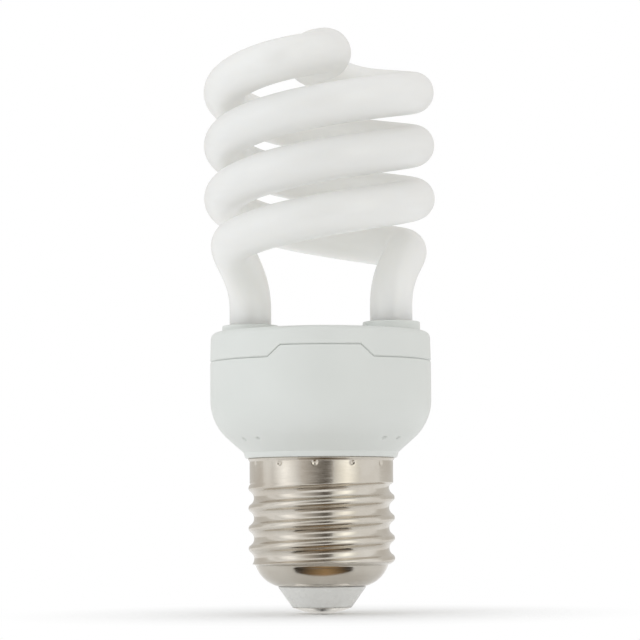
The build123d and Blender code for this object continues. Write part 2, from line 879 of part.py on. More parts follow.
with BuildPart() as fuse_resistor:
    add(axial_row(fuse_place, 0, 1, fuse_radius, fuse_length))
fuse_resistor.part.label = "fuse_resistor"
export_step(fuse_resistor.part, "parts/fuse_resistor.step")

with BuildPart() as base_resistors:
    add(axial_row(resistor_place, resistor_spacing, resistor_count, resistor_radius, resistor_length))
base_resistors.part.label = "base_resistors"
export_step(base_resistors.part, "parts/base_resistors.step")

with BuildPart() as trigger_diode:
    add(axial_row(trigger_place, 0, 1, trigger_radius, trigger_length))
trigger_diode.part.label = "trigger_diode"
export_step(trigger_diode.part, "parts/trigger_diode.step")
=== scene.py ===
# %% [markdown]
# A spiral fluorescent lamp, dressed for its portrait.
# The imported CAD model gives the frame: every piece sits where the CAD says, in metres, with Z along the
# lamp's axis and the origin at the tip of the cap. Pieces that carry the look are grown again here with
# finer surfaces, and the parts sealed inside the housing keep their CAD meshes and get finishes.

# %% Frame
import bpy
import json
import math
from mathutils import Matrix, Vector


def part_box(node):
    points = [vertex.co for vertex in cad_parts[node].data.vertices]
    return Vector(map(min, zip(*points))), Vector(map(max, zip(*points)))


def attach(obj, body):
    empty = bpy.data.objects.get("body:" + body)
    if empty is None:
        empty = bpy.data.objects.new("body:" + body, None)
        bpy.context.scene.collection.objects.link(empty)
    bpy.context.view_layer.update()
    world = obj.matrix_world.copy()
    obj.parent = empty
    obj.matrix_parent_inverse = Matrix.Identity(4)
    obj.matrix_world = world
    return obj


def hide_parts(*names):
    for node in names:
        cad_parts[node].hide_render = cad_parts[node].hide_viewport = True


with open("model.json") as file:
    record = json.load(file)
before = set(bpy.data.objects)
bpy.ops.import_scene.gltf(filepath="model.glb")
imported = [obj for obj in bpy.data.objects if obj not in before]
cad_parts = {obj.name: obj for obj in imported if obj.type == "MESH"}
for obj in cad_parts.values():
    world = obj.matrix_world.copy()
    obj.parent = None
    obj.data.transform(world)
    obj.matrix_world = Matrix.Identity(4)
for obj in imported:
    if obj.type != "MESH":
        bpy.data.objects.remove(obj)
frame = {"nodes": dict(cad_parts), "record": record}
nodes = frame["nodes"]
scene = bpy.context.scene
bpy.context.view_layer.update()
MM = 0.001

# %% [markdown]
# The camera comes first, because everything else is judged through it. The photograph was taken from the
# front with a long lens, at about the height of the cap and looking slightly up, so the rims of the collars
# show as nearly straight lines and the coil shows a little of its underside. The lens is written in pixels,
# as it was measured on the picture, and turned into the millimetres that Blender asks for.

# %% Camera
camera_distance = 493 * MM
camera_height = 17 * MM
camera_aside = -0.3 * MM
aim_height = 52.8 * MM
camera_roll = math.radians(0.4)
focal_pixels = 2736
image_pixels = 640
sensor_width = 36
nearest_seen = 10 * MM

camera = bpy.data.objects.new("camera", bpy.data.cameras.new("camera"))
scene.collection.objects.link(camera)
scene.camera = camera
camera.data.sensor_width = sensor_width
camera.data.lens = focal_pixels / image_pixels * sensor_width
camera.data.clip_start = nearest_seen
camera.location = (camera_aside, -camera_distance, camera_height)
look_up = math.atan2(aim_height - camera_height, camera_distance)
camera.rotation_euler = (math.pi / 2 + look_up, camera_roll, 0)
print("lens", round(camera.data.lens, 1), "mm, looking up", round(math.degrees(look_up), 2), "degrees")

# %% [markdown]
# Many shapes here follow a rule: a thread is a wave that climbs as it turns, a crimp is a dent that
# repeats round a rim. In a node tree each step of such a rule is a Math node, which is slow to read.
# A Wire is one socket of a tree with the ordinary operators on it, so that a rule can be written as
# arithmetic and the tree builds itself. It works in geometry trees and in materials alike.


# %% Rules written as arithmetic
class Wire:
    def __init__(self, tree, socket):
        self.tree = tree
        self.socket = socket

    def math(self, operation, *others):
        node = self.tree.nodes.new("ShaderNodeMath")
        node.operation = operation
        for slot, value in zip(node.inputs, (self, *others)):
            plug(value, slot)
        return Wire(self.tree, node.outputs[0])

    def __add__(self, other):
        return self.math("ADD", other)

    def __sub__(self, other):
        return self.math("SUBTRACT", other)

    def __rsub__(self, other):
        return (self * -1) + other

    def __mul__(self, other):
        return self.math("MULTIPLY", other)

    def __truediv__(self, other):
        return self.math("DIVIDE", other)

    def fold(self):
        """Distance to the nearest whole number, which turns a count of repeats into one repeat."""
        return (self - self.math("ROUND")).math("ABSOLUTE")


def plug(value, slot):
    """Links a wire to a socket, or writes a plain value on it."""
    if isinstance(value, Wire):
        value.tree.links.new(value.socket, slot)
    else:
        slot.default_value = value


def node_in(tree, kind, settings=(), **sockets):
    """A node with its settings and its sockets filled, sockets named with _ for a space."""
    node = tree.nodes.new(kind)
    for key, value in dict(settings).items():
        setattr(node, key, value)
    for key, value in sockets.items():
        plug(value, node.inputs[key.replace("_", " ")])
    return node


def out(node, index=0):
    return Wire(node.id_data, node.outputs[index])


# %% [markdown]
# A geometry tree needs an interface with named inputs, and someone to run it. grow() puts the tree on a
# carrier object, sets each input by its identifier, evaluates it once and keeps the plain mesh, so the
# finished piece has no live modifier. dress() then sets the piece on the lamp.


# %% Growing a mesh from a tree
SOCKETS = {float: "NodeSocketFloat", int: "NodeSocketInt", Vector: "NodeSocketVector"}


def start_tree(name, sizes):
    """A new tree with a mesh input and one named input for each size. Returns it with its input wires."""
    tree = bpy.data.node_groups.new(name, "GeometryNodeTree")
    tree.interface.new_socket("Geometry", in_out="INPUT", socket_type="NodeSocketGeometry")
    for label, value in sizes.items():
        tree.interface.new_socket(label, in_out="INPUT", socket_type=SOCKETS[type(value)])
    tree.interface.new_socket("Geometry", in_out="OUTPUT", socket_type="NodeSocketGeometry")
    group = tree.nodes.new("NodeGroupInput")
    return tree, {socket.name: Wire(tree, socket) for socket in group.outputs if socket.name}


def end_tree(tree, geometry, material):
    real = node_in(tree, "GeometryNodeRealizeInstances", Geometry=geometry)
    smooth = node_in(tree, "GeometryNodeSetShadeSmooth", Geometry=out(real))
    finish = node_in(tree, "GeometryNodeSetMaterial", Geometry=out(smooth), Material=material)
    plug(out(finish), tree.nodes.new("NodeGroupOutput").inputs[0])


def grow(name, tree, sizes, mesh=None):
    carrier = bpy.data.objects.new(name, mesh or bpy.data.meshes.new(name))
    scene.collection.objects.link(carrier)
    modifier = carrier.modifiers.new(tree.name, "NODES")
    modifier.node_group = tree
    for item in tree.interface.items_tree:
        if item.in_out == "INPUT" and item.name in sizes:
            modifier[item.identifier] = sizes[item.name]
    grown = carrier.evaluated_get(bpy.context.evaluated_depsgraph_get())
    plain = bpy.data.meshes.new_from_object(grown)
    carrier.modifiers.clear()
    carrier.data = plain
    return carrier


def dress(piece, slot, *replaced):
    """Sets a finished piece on the lamp in place of its CAD nodes, and says how big it came out."""
    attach(piece, "root")
    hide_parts(*replaced)
    triangles = sum(len(face.vertices) - 2 for face in piece.data.polygons)
    corners = [vertex.co for vertex in piece.data.vertices]
    size = [(max(c[i] for c in corners) - min(c[i] for c in corners)) / MM for i in range(3)]
    print(piece.name, "triangles", triangles, "size in mm", [round(s, 2) for s in size])


# %% [markdown]
# Finishes. Each is a Principled shader whose colour and roughness drift with a noise in the piece's own
# coordinates. An image would have to be wrapped round every piece, while a noise fills any shape. Where the
# real material has a grain of its own, a fine bump adds it. Values that are the same all over stay on the
# shader's own sockets. These helpers make the parts that the finishes share.


# %% A shared start for finishes
NOISE_LOW = 0.3
NOISE_HIGH = 0.7


def finish_tree(name, **constants):
    material = bpy.data.materials.new(name)
    material.use_nodes = True
    tree = material.node_tree
    shader = tree.nodes["Principled BSDF"]
    for key, value in constants.items():
        shader.inputs[key.replace("_", " ")].default_value = value
    place = Wire(tree, tree.nodes.new("ShaderNodeTexCoord").outputs["Object"])
    return material, tree, shader, place


def noise(tree, place, grain, detail=3.0, stretch=None):
    """Noise whose patches are about one grain across, in millimetres, stretched along an axis if asked."""
    if stretch:
        place = out(node_in(tree, "ShaderNodeMapping", Vector=place, Scale=stretch))
    return out(node_in(tree, "ShaderNodeTexNoise", Vector=place, Scale=1 / (grain * MM), Detail=detail))


def between(tree, factor, low, high):
    """Spreads a factor over a range of numbers, from the low end of where noise lives to the high end."""
    ends = {"From_Min": NOISE_LOW, "From_Max": NOISE_HIGH, "To_Min": low, "To_Max": high}
    return out(node_in(tree, "ShaderNodeMapRange", Value=factor, **ends))


def blend_colours(tree, factor, first, second):
    """Spreads a factor over two colours in the same way."""
    ramp = node_in(tree, "ShaderNodeValToRGB", Fac=factor)
    stops = zip(ramp.color_ramp.elements, (NOISE_LOW, NOISE_HIGH), (first, second))
    for stop, position, colour in stops:
        stop.position = position
        stop.color = (*colour, 1)
    return out(ramp)


def bump(tree, shader, height, depth):
    """Raises the surface by up to depth millimetres."""
    plug(out(node_in(tree, "ShaderNodeBump", Height=height, Distance=depth * MM)), shader.inputs["Normal"])


# %% [markdown]
# Phosphor glass. The tube is clear glass with white powder baked onto its inside, so it is a soft white with
# a smooth outer skin, and the powder lies a little thicker in places, which shows as faint clouds. A plain
# white paint would show hard shadows where the strands face each other. Real powder passes light on, so all
# of the colour goes through subsurface scattering that reaches further than the tube is wide. A slightly
# rough coat stands for the glass outside.

# %% Phosphor glass
phosphor, tree, shader, place = finish_tree(
    "phosphor_glass",
    IOR=1.5,
    Subsurface_Weight=1.0,
    Subsurface_Scale=18 * MM,
    Coat_Weight=0.5,
    Coat_Roughness=0.26,
)
shader.inputs["Subsurface Radius"].default_value = (1.0, 0.95, 0.88)
clouds = noise(tree, place, grain=40, detail=1.0)
plug(blend_colours(tree, clouds, (0.774, 0.773, 0.747), (0.791, 0.790, 0.771)), shader.inputs["Base Color"])
skin = noise(tree, place, grain=25, detail=1.0)
plug(between(tree, skin, low=0.27, high=0.33), shader.inputs["Roughness"])
print("finish", phosphor.name, len(tree.nodes), "nodes")

# %% [markdown]
# Moulded plastic of the housing and the cover: white with a slight green-grey cast, satin, with the very
# fine grain that a spark-eroded mould leaves, and faint clouds where the melt cooled unevenly. The grain is
# too fine to model, so it is a bump.

# %% White plastic
plastic, tree, shader, place = finish_tree("white_plastic", IOR=1.48)
clouds = noise(tree, place, grain=16)
plug(blend_colours(tree, clouds, (0.730, 0.752, 0.724), (0.754, 0.774, 0.750)), shader.inputs["Base Color"])
plug(between(tree, noise(tree, place, grain=3), low=0.36, high=0.46), shader.inputs["Roughness"])
bump(tree, shader, noise(tree, place, grain=0.35, detail=2.0), depth=0.008)
print("finish", plastic.name, len(tree.nodes), "nodes")

# %% [markdown]
# Nickel plate on the pressed shell. Rolling the thread drags fine lines round the metal, so the roughness
# noise is squeezed along Z until it reads as rings. A warm film of handling and heat lies over it in clouds.

# %% Nickel plate
nickel, tree, shader, place = finish_tree("nickel_plate", Metallic=1.0)
film = noise(tree, place, grain=5)
rings = noise(tree, place, grain=2.5, detail=4.0, stretch=(1, 1, 9))
plug(blend_colours(tree, film, (0.565, 0.520, 0.455), (0.640, 0.605, 0.545)), shader.inputs["Base Color"])
plug(between(tree, rings, low=0.13, high=0.24), shader.inputs["Roughness"])
bump(tree, shader, rings, depth=0.006)
print("finish", nickel.name, len(tree.nodes), "nodes")

# %% [markdown]
# The insulator is a cone of white glass paste with a smooth skin, and the contact under it is a tinned
# plate that scuffs where a holder's spring rubs it. The scuffs are one noise squeezed along Y, which drives
# colour, roughness and bump together, because a scratch changes all three.

# %% Finishes of the insulator and the contact
insulator_white, tree, shader, place = finish_tree("insulator_white", IOR=1.52)
clouds = noise(tree, place, grain=4)
plug(blend_colours(tree, clouds, (0.760, 0.760, 0.735), (0.800, 0.800, 0.780)), shader.inputs["Base Color"])
plug(between(tree, noise(tree, place, grain=1.5), low=0.20, high=0.32), shader.inputs["Roughness"])
bump(tree, shader, noise(tree, place, grain=1.2), depth=0.01)

contact_metal, tree, shader, place = finish_tree("contact_metal", Metallic=1.0)
scuffs = noise(tree, place, grain=0.8, detail=5.0, stretch=(1, 4, 1))
plug(blend_colours(tree, scuffs, (0.58, 0.56, 0.52), (0.74, 0.72, 0.68)), shader.inputs["Base Color"])
plug(between(tree, scuffs, low=0.18, high=0.34), shader.inputs["Roughness"])
bump(tree, shader, scuffs, depth=0.01)
print("finishes", insulator_white.name, contact_metal.name)

# %% [markdown]
# The glass tube. One strand leaves its collar upright, bends into the coil, climbs round the axis and
# turns in over the crown, and the other strand is the same one turned half round. Its sizes are those of the
# CAD, with a crown a tenth of a millimetre higher, as the outline in the photograph asks.

# %% Sizes of the tube
tube_radius = 3.8 * MM
coil_radius = 17.1 * MM
strand_pitch = 19.4 * MM
leg_circle = 13.3 * MM
leg_angle = math.radians(17)
leg_top = 55.1 * MM
coil_base = 65.03 * MM
coil_start_angle = math.radians(-150)
coil_sweep = math.radians(565)
crown_rise = 4.05 * MM
crown_angle = math.radians(40)
crown_bulge = 1.0 * MM
crown_bulge_reach = 9.0 * MM
leg_bend_reach = 7.9 * MM
coil_start_reach = 5.9 * MM
coil_end_reach = 7.5 * MM
crown_reach = 7.5 * MM
tube_step = 0.6 * MM
tube_sides = 48
tube_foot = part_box("spiral_tube")[0].z
print("tube", round(2 * tube_radius / MM, 2), "mm thick,", round(coil_radius / MM, 2), "mm off the axis")

# %% [markdown]
# From the sizes come the places where one stretch of the strand ends and the next begins, and the handles of
# its bends. A handle is the point that a Bezier curve leans towards. It lies straight ahead of the stretch
# that the bend leaves, or straight behind the one that it meets, so no kink shows. The places become named
# inputs of a tree.


# %% Places along a strand
def on_coil(angle):
    height = coil_base + strand_pitch * (angle + math.pi) / math.tau
    return Vector((coil_radius * math.cos(angle), coil_radius * math.sin(angle), height))


def along_coil(angle):
    climb = strand_pitch / math.tau
    return Vector((-coil_radius * math.sin(angle), coil_radius * math.cos(angle), climb)).normalized()


coil_end_angle = coil_start_angle + coil_sweep
coil_start = on_coil(coil_start_angle)
coil_end = on_coil(coil_end_angle)
leg_place = Vector((-leg_circle * math.cos(leg_angle), leg_circle * math.sin(leg_angle), 0))
leg_end = leg_place + Vector((0, 0, leg_top))
crown = Vector((0, 0, coil_end.z + crown_rise))
crown_run = Vector((math.sin(crown_angle), -math.cos(crown_angle), 0))
tube_sizes = {
    "Foot": leg_place + Vector((0, 0, tube_foot)),
    "Leg End": leg_end,
    "Leg Handle": leg_end + Vector((0, 0, leg_bend_reach)),
    "Coil Start Handle": coil_start - along_coil(coil_start_angle) * coil_start_reach,
    "Coil Start": coil_start,
    "Coil Turn": Vector((0, 0, coil_start_angle)),
    "Coil Foot": Vector((0, 0, coil_start.z)),
    "Coil Turns": coil_sweep / math.tau,
    "Coil Height": coil_end.z - coil_start.z,
    "Coil Radius": coil_radius,
    "Coil End": coil_end,
    "Coil End Handle": coil_end + along_coil(coil_end_angle) * coil_end_reach,
    "Crown Handle": crown - crown_run * crown_reach,
    "Crown": crown,
    "Tube Radius": tube_radius,
    "Bulge": crown_bulge,
    "Bulge Reach": crown_bulge_reach,
    "Step": tube_step,
    "Sides": tube_sides,
}
print("crown at", round(crown.z / MM, 2), "mm, coil ends at", round(coil_end.z / MM, 2), "mm")

# %% [markdown]
# The strand could be a curve object with a bevel, but then its path would be a long list of points, worked
# out anew for each change of size. Here the tree draws each stretch with the curve node that fits it, a line,
# a Bezier, a spiral and a Bezier, and turns it into even points that each know their place in the order of
# the strand.

# %% Stretches of one strand
curve_resolution = 200
merge_share = 0.2
tree, given = start_tree("spiral_tube", tube_sizes)


def evenly(curve):
    return out(
        node_in(tree, "GeometryNodeResampleCurve", {"mode": "LENGTH"}, Curve=curve, Length=given["Step"])
    )


def in_order(geometry, value):
    return out(
        node_in(tree, "GeometryNodeStoreNamedAttribute", Geometry=geometry, Name="order", Value=value)
    )


def strung(curve, number):
    """Points along one stretch, each with its place in the order of the whole strand."""
    share = out(tree.nodes.new("GeometryNodeSplineParameter"))
    ordered = in_order(evenly(curve), share + number)
    return out(node_in(tree, "GeometryNodeCurveToPoints", {"mode": "EVALUATED"}, Curve=ordered))


def bezier(start, start_handle, end_handle, end):
    bend = node_in(tree, "GeometryNodeCurvePrimitiveBezierSegment", Resolution=curve_resolution)
    ends = {"Start": start, "Start Handle": start_handle, "End Handle": end_handle, "End": end}
    for label, size in ends.items():
        plug(given[size], bend.inputs[label])
    return out(bend)


def joined(*parts):
    node = tree.nodes.new("GeometryNodeJoinGeometry")
    for part in reversed(parts):
        plug(part, node.inputs[0])
    reach = given["Step"] * merge_share
    return out(node_in(tree, "GeometryNodeMergeByDistance", Geometry=out(node), Distance=reach))


leg = node_in(tree, "GeometryNodeCurvePrimitiveLine", Start=given["Foot"], End=given["Leg End"])
spiral = node_in(
    tree,
    "GeometryNodeCurveSpiral",
    Resolution=curve_resolution,
    Rotations=given["Coil Turns"],
    Start_Radius=given["Coil Radius"],
    End_Radius=given["Coil Radius"],
    Height=given["Coil Height"],
    Reverse=True,
)
coil = node_in(
    tree,
    "GeometryNodeTransform",
    Geometry=out(spiral),
    Translation=given["Coil Foot"],
    Rotation=given["Coil Turn"],
)
stretches = [
    out(leg),
    bezier("Leg End", "Leg Handle", "Coil Start Handle", "Coil Start"),
    out(coil),
    bezier("Coil End", "Coil End Handle", "Crown Handle", "Crown"),
]
strand = joined(*(strung(stretch, number) for number, stretch in enumerate(stretches)))
print("one strand in", len(stretches), "stretches,", len(tree.nodes), "nodes")

# %% [markdown]
# The other strand is a copy turned half round that runs back down, so its order is counted from the far end.
# Points to Curves strings both on one spline, and Curve to Mesh sweeps a circle along it. Two tubes joined at
# the crown would show a seam there, and one sweep has none. Where the strands meet the glass was blown out a
# little, so the circle grows near the middle of the path.

# %% Sweeping the tube
whole_order = 2 * len(stretches)
swell_power = 1.5
half_round = node_in(tree, "GeometryNodeTransform", Geometry=strand, Rotation=(0, 0, math.pi))
order = out(node_in(tree, "GeometryNodeInputNamedAttribute", Name="order"))
backwards = in_order(out(half_round), whole_order - order)
path = node_in(tree, "GeometryNodePointsToCurves", Points=joined(strand, backwards), Weight=order)
travelled = out(tree.nodes.new("GeometryNodeSplineParameter"), 1)
whole = out(tree.nodes.new("GeometryNodeSplineLength"))
from_crown = (travelled - whole / 2) / given["Bulge Reach"]
swell = (1 - from_crown * from_crown).math("MAXIMUM", 0.0).math("POWER", swell_power)
section = node_in(
    tree, "GeometryNodeCurvePrimitiveCircle", Resolution=given["Sides"], Radius=given["Tube Radius"]
)
swept = node_in(
    tree,
    "GeometryNodeCurveToMesh",
    Curve=evenly(out(path)),
    Profile_Curve=out(section),
    Scale=swell * given["Bulge"] / given["Tube Radius"] + 1,
    Fill_Caps=True,
)
end_tree(tree, out(swept), phosphor)
glass_tube = grow("glass_tube", tree, tube_sizes)
dress(glass_tube, "phosphor_glass", "spiral_tube")

# %% [markdown]
# The rest of the lamp is turned: each piece is an outline carried round the axis. A bevel could round its
# edges later, but then every edge gets the same radius. rounded() draws an outline from its corners, each
# with the small radius that moulding or pressing leaves on it, and spaced() adds points where a rule is
# going to move the surface.


# %% Outlines
def rounded(corners, arc_steps=6):
    """An outline through (radius, height, rounding) corners, in millimetres."""
    outline = []
    for number, (radius, height, rounding) in enumerate(corners):
        here = Vector((radius, height))
        if rounding == 0:
            outline.append(here)
            continue
        back = (Vector(corners[number - 1][:2]) - here).normalized()
        ahead = (Vector(corners[(number + 1) % len(corners)][:2]) - here).normalized()
        half = back.angle(ahead) / 2
        centre = here + (back + ahead).normalized() * rounding / math.sin(half)
        first = here + back * rounding / math.tan(half) - centre
        sweep = -first.angle_signed(here + ahead * rounding / math.tan(half) - centre)
        for step in range(arc_steps + 1):
            turn = sweep * step / arc_steps
            across = Vector((-first.y, first.x))
            outline.append(centre + first * math.cos(turn) + across * math.sin(turn))
    return outline


def spaced(outline, low, high, step):
    """The same outline with extra points on its runs between two heights, no further apart than a step."""
    dense = []
    for number, here in enumerate(outline):
        dense.append(here)
        ahead = outline[(number + 1) % len(outline)]
        inside = low <= min(here.y, ahead.y) and max(here.y, ahead.y) <= high
        count = math.ceil((ahead - here).length / step) if inside else 1
        for extra in range(1, count):
            dense.append(here.lerp(ahead, extra / count))
    return dense


# %% [markdown]
# turned() carries an outline round. A closed outline gives a closed wall, and one that starts and ends on the
# axis gives a solid with a single vertex at each pole. A Screw modifier could turn it too, but it makes a
# whole ring of vertices at each pole, which then have to be merged.


# %% Turned pieces
on_axis = 1e-6


def turned(name, outline, sides):
    mesh = bpy.data.meshes.new(name)
    rings = []
    vertices = []
    for radius, height in outline:
        count = 1 if radius < on_axis else sides
        rings.append([len(vertices) + side for side in range(count)])
        for side in range(count):
            turn = math.tau * side / sides
            vertices.append((radius * math.cos(turn) * MM, radius * math.sin(turn) * MM, height * MM))
    faces = []
    for ring, following in zip(rings, rings[1:] + rings[:1]):
        if len(ring) == len(following) == 1:
            continue
        for side in range(sides):
            ahead = (side + 1) % sides
            loop = [ring[side % len(ring)], ring[ahead % len(ring)]]
            loop += [following[ahead % len(following)], following[side % len(following)]]
            faces.append(list(dict.fromkeys(loop)))
    mesh.from_pydata(vertices, [], faces)
    mesh.update()
    print("turned", name, "from", len(outline), "points,", sides, "sides")
    return mesh


# %% [markdown]
# Rules that shape a turned piece work on each vertex's angle, radius and height. This helper reads them
# from the position, in millimetres, and sets a new position from a new radius and height.


# %% Reading and setting round places
def round_place(tree):
    split = node_in(tree, "ShaderNodeSeparateXYZ", Vector=out(tree.nodes.new("GeometryNodeInputPosition")))
    across, along, height = (out(split, axis) / MM for axis in range(3))
    radius = (across * across + along * along).math("SQRT")
    return across, along, height, radius, along.math("ARCTAN2", across) / math.tau


def set_round_place(tree, geometry, across, along, height, scale):
    place = node_in(
        tree, "ShaderNodeCombineXYZ", X=across * scale * MM, Y=along * scale * MM, Z=height * MM
    )
    return out(node_in(tree, "GeometryNodeSetPosition", Geometry=geometry, Position=out(place)))


# %% [markdown]
# The screw shell is thin nickel-plated sheet. Its thread was rolled between two formers, so it has no sharp
# edge: a narrow crest arc and a wider root arc, tangent on the flank, which climb one pitch in each turn.
# Twelve punched dents below the rim lock the shell onto the plastic neck. The thread could be a ridge swept
# along a helix, but it would meet the wall in a hard line. Here thread and dents are rules on a turned blank,
# so the blank is plain and the tree rolls and punches it.

# %% Sizes of the screw shell
shell_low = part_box("screw_shell")[0].z / MM
shell_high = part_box("screw_shell")[1].z / MM
shell_sheet = 0.3
shell_hole = 7.6
bowl_start = (8.05, shell_low)
bowl_middle = (10.2, shell_low + 1.15)
bowl_end = (11.9, shell_low + 3.68)
flange_radius = 13.2
flange_height = 0.6
skirt_radius = 12.9
skirt_low = 23.4
skirt_high = shell_high - flange_height
crest_radius = 13.15
thread_sizes = {
    "Crest Radius": crest_radius,
    "Crest Arc": 0.75,
    "Depth": 1.0,
    "Pitch": 3.629,
    "Crest Height": 9.85,
    "Run In Height": 22.5,
    "Skirt Height": skirt_low,
    "Skirt Radius": skirt_radius,
    "Softness": 0.25,
    "Crimps": 12.0,
    "Crimp Phase": -5 / 360,
    "Crimp Height": skirt_high - 0.5,
    "Crimp Radius": 0.5,
    "Crimp Depth": 0.25,
}
print("shell from", round(shell_low, 2), "to", round(shell_high, 2), "mm, skirt from", skirt_low, "mm")

# %% [markdown]
# The blank is the shell before it is rolled: a bowl that closes round the insulator, a straight wall as wide
# as the thread's crest, the skirt and the flange below the housing, and back down inside. The wall gets close
# rings, because the thread and the dents need points to move.


# %% Shell blank
def arc_through(first, middle, last, steps):
    """Points on the circle through three places, without the last one."""
    (ax, ay), (bx, by), (cx, cy) = first, middle, last
    twice = 2 * (ax * (by - cy) + bx * (cy - ay) + cx * (ay - by))
    a2, b2, c2 = ax * ax + ay * ay, bx * bx + by * by, cx * cx + cy * cy
    ux = (a2 * (by - cy) + b2 * (cy - ay) + c2 * (ay - by)) / twice
    uy = (a2 * (cx - bx) + b2 * (ax - cx) + c2 * (bx - ax)) / twice
    centre = Vector((ux, uy))
    spoke = Vector(first) - centre
    sweep = -spoke.angle_signed(Vector(last) - centre)
    points = []
    for step in range(steps):
        turn = sweep * step / steps
        points.append(centre + spoke * math.cos(turn) + Vector((-spoke.y, spoke.x)) * math.sin(turn))
    return points


crest_start = bowl_end[1] + 0.58
crest_stop = skirt_low - 0.9
press_round = 0.3
skirt_round = 0.15
flange_bevel = 0.15
flange_round = 0.12
inner_radius = 11.6
inner_low = 10.0
inner_high = skirt_high - 1
height_margin = 0.1
shell_wall = [
    (bowl_end[0], bowl_end[1], 0.0),
    (crest_radius, crest_start, press_round),
    (crest_radius, crest_stop, press_round),
    (skirt_radius, skirt_low, press_round),
    (skirt_radius, skirt_high, skirt_round),
    (flange_radius, shell_high - flange_bevel, flange_round),
    (flange_radius - flange_bevel, shell_high, flange_round),
    (skirt_radius - shell_sheet, shell_high, 0.0),
    (inner_radius, inner_high, 0.0),
    (inner_radius, inner_low, 0.0),
    (shell_hole, shell_low + shell_sheet, 0.0),
    (shell_hole, shell_low, 0.0),
]
blank = arc_through(bowl_start, bowl_middle, bowl_end, steps=16) + rounded(shell_wall)
blank = spaced(blank, bowl_end[1] - height_margin, skirt_low + press_round, step=0.17)
blank = spaced(blank, skirt_low - height_margin, shell_high + height_margin, step=0.12)
shell_blank = turned("screw_shell_blank", blank, sides=576)

# %% [markdown]
# Rolling. Each vertex asks how far it is from the nearest crest, along the axis, once its turn round the axis
# is taken off its height, and two tangent arcs answer with a radius. Near the skirt a ramp lets the thread
# run out. Smooth minimum and maximum keep these meetings soft, as in rolled sheet.

# %% Rolling the thread
ramp_depth = 1.5
press_softness = 0.4
tree, given = start_tree("screw_shell", thread_sizes)
across, along, height, radius, turn = round_place(tree)
crest = given["Crest Radius"]
pitch = given["Pitch"]
depth = given["Depth"]
from_crest = ((height - given["Crest Height"]) / pitch - turn).fold() * pitch
from_root = pitch / 2 - from_crest
arcs = (pitch * pitch / 4 + depth * depth) / (depth * 2)
crest_arc = given["Crest Arc"]
root_arc = arcs - crest_arc
at_crest = crest - crest_arc + (crest_arc * crest_arc - from_crest * from_crest).math("SQRT")
at_root = crest - depth + root_arc - (root_arc * root_arc - from_root * from_root).math("SQRT")
on_crest = from_crest.math("LESS_THAN", pitch / 2 * crest_arc / arcs)
rolled = at_crest * on_crest + at_root * (1 - on_crest)
run_in = (height - given["Run In Height"]) / (given["Skirt Height"] - given["Run In Height"])
ramp_up = crest - depth * ramp_depth + run_in * (given["Skirt Radius"] - crest + depth * ramp_depth)
shaped = rolled.math("SMOOTH_MAX", ramp_up, given["Softness"])
pressed = radius.math("SMOOTH_MIN", shaped, given["Softness"] * press_softness)
print("thread rule:", len(tree.nodes), "nodes")

# %% [markdown]
# Punching. Twelve balls could be cut out with Booleans, but thin sheet would be left with ragged rings. Here
# the angle round the axis is folded into one twelfth, so one rule for one dent makes all twelve. A dent is a
# shallow bowl, deepest in its middle, on the outer wall only.

# %% Punching the crimps
wall_margin = 0.1
from_crimp = ((turn - given["Crimp Phase"]) * given["Crimps"]).fold() / given["Crimps"]
aside = from_crimp * math.tau * given["Skirt Radius"]
drop = height - given["Crimp Height"]
reach = (aside * aside + drop * drop) / (given["Crimp Radius"] * given["Crimp Radius"])
dent = (1 - reach).math("MAXIMUM", 0.0) * given["Crimp Depth"]
outer = radius.math("GREATER_THAN", given["Skirt Radius"] - wall_margin)
scale = (pressed - dent * outer) / radius
end_tree(tree, set_round_place(tree, given["Geometry"], across, along, height, scale), nickel)
cap_shell = grow("cap_shell", tree, thread_sizes, shell_blank)
dress(cap_shell, "nickel_plate", "screw_shell")

# %% [markdown]
# Below the shell, the insulator is a short cone of paste that fills the shell's hole and leaves room for the
# stem of the contact. Its edges are rounded a little more than the CAD's, as pressed paste is. It needs no
# rule, so its tree only sets the finish.

# %% Insulator
contact_radius = 5.4
contact_rise = 1.2
stem_radius = 1.5
rim_inset = 0.05
cone_gap = 0.02
hole_gap = 0.1
tip_round = 0.25
brim_round = 0.2
cone_top = shell_low + 1.9
cone = [
    (stem_radius, contact_rise, 0.0),
    (contact_radius - rim_inset, contact_rise, tip_round),
    (bowl_start[0], shell_low - cone_gap, brim_round),
    (shell_hole - hole_gap, shell_low - cone_gap, 0.0),
    (shell_hole - hole_gap, cone_top, 0.0),
    (stem_radius, cone_top, 0.0),
]
tree, given = start_tree("insulator", {})
end_tree(tree, given["Geometry"], insulator_white)
insulator = grow("insulator", tree, {}, turned("insulator", rounded(cone), sides=192))
dress(insulator, "insulator", "base_insulator")

# %% [markdown]
# The contact is a shallow dome stamped from plate, with a stem that goes up through the insulator. A squashed
# sphere would do from afar, but its rim would bulge. This dome is part of a true sphere, found from its width
# and its rise. The ring at its rim is there twice, which keeps the edge crisp under smooth shading.

# %% Contact
dome_steps = 20
stem_top = shell_low + 3.1
dome_sphere = (contact_radius**2 + contact_rise**2) / (2 * contact_rise)
dome_angle = math.asin(contact_radius / dome_sphere)
dome = []
for step in range(dome_steps + 1):
    bend = dome_angle * step / dome_steps
    dome.append(Vector((dome_sphere * math.sin(bend), dome_sphere * (1 - math.cos(bend)))))
dome += [Vector((contact_radius, contact_rise)), Vector((stem_radius, contact_rise))]
dome += [Vector((stem_radius, stem_top)), Vector((0, stem_top))]
tree, given = start_tree("contact", {})
end_tree(tree, given["Geometry"], contact_metal)
contact = grow("contact", tree, {}, turned("contact", dome, sides=128))
dress(contact, "contact_metal", "centre_contact")

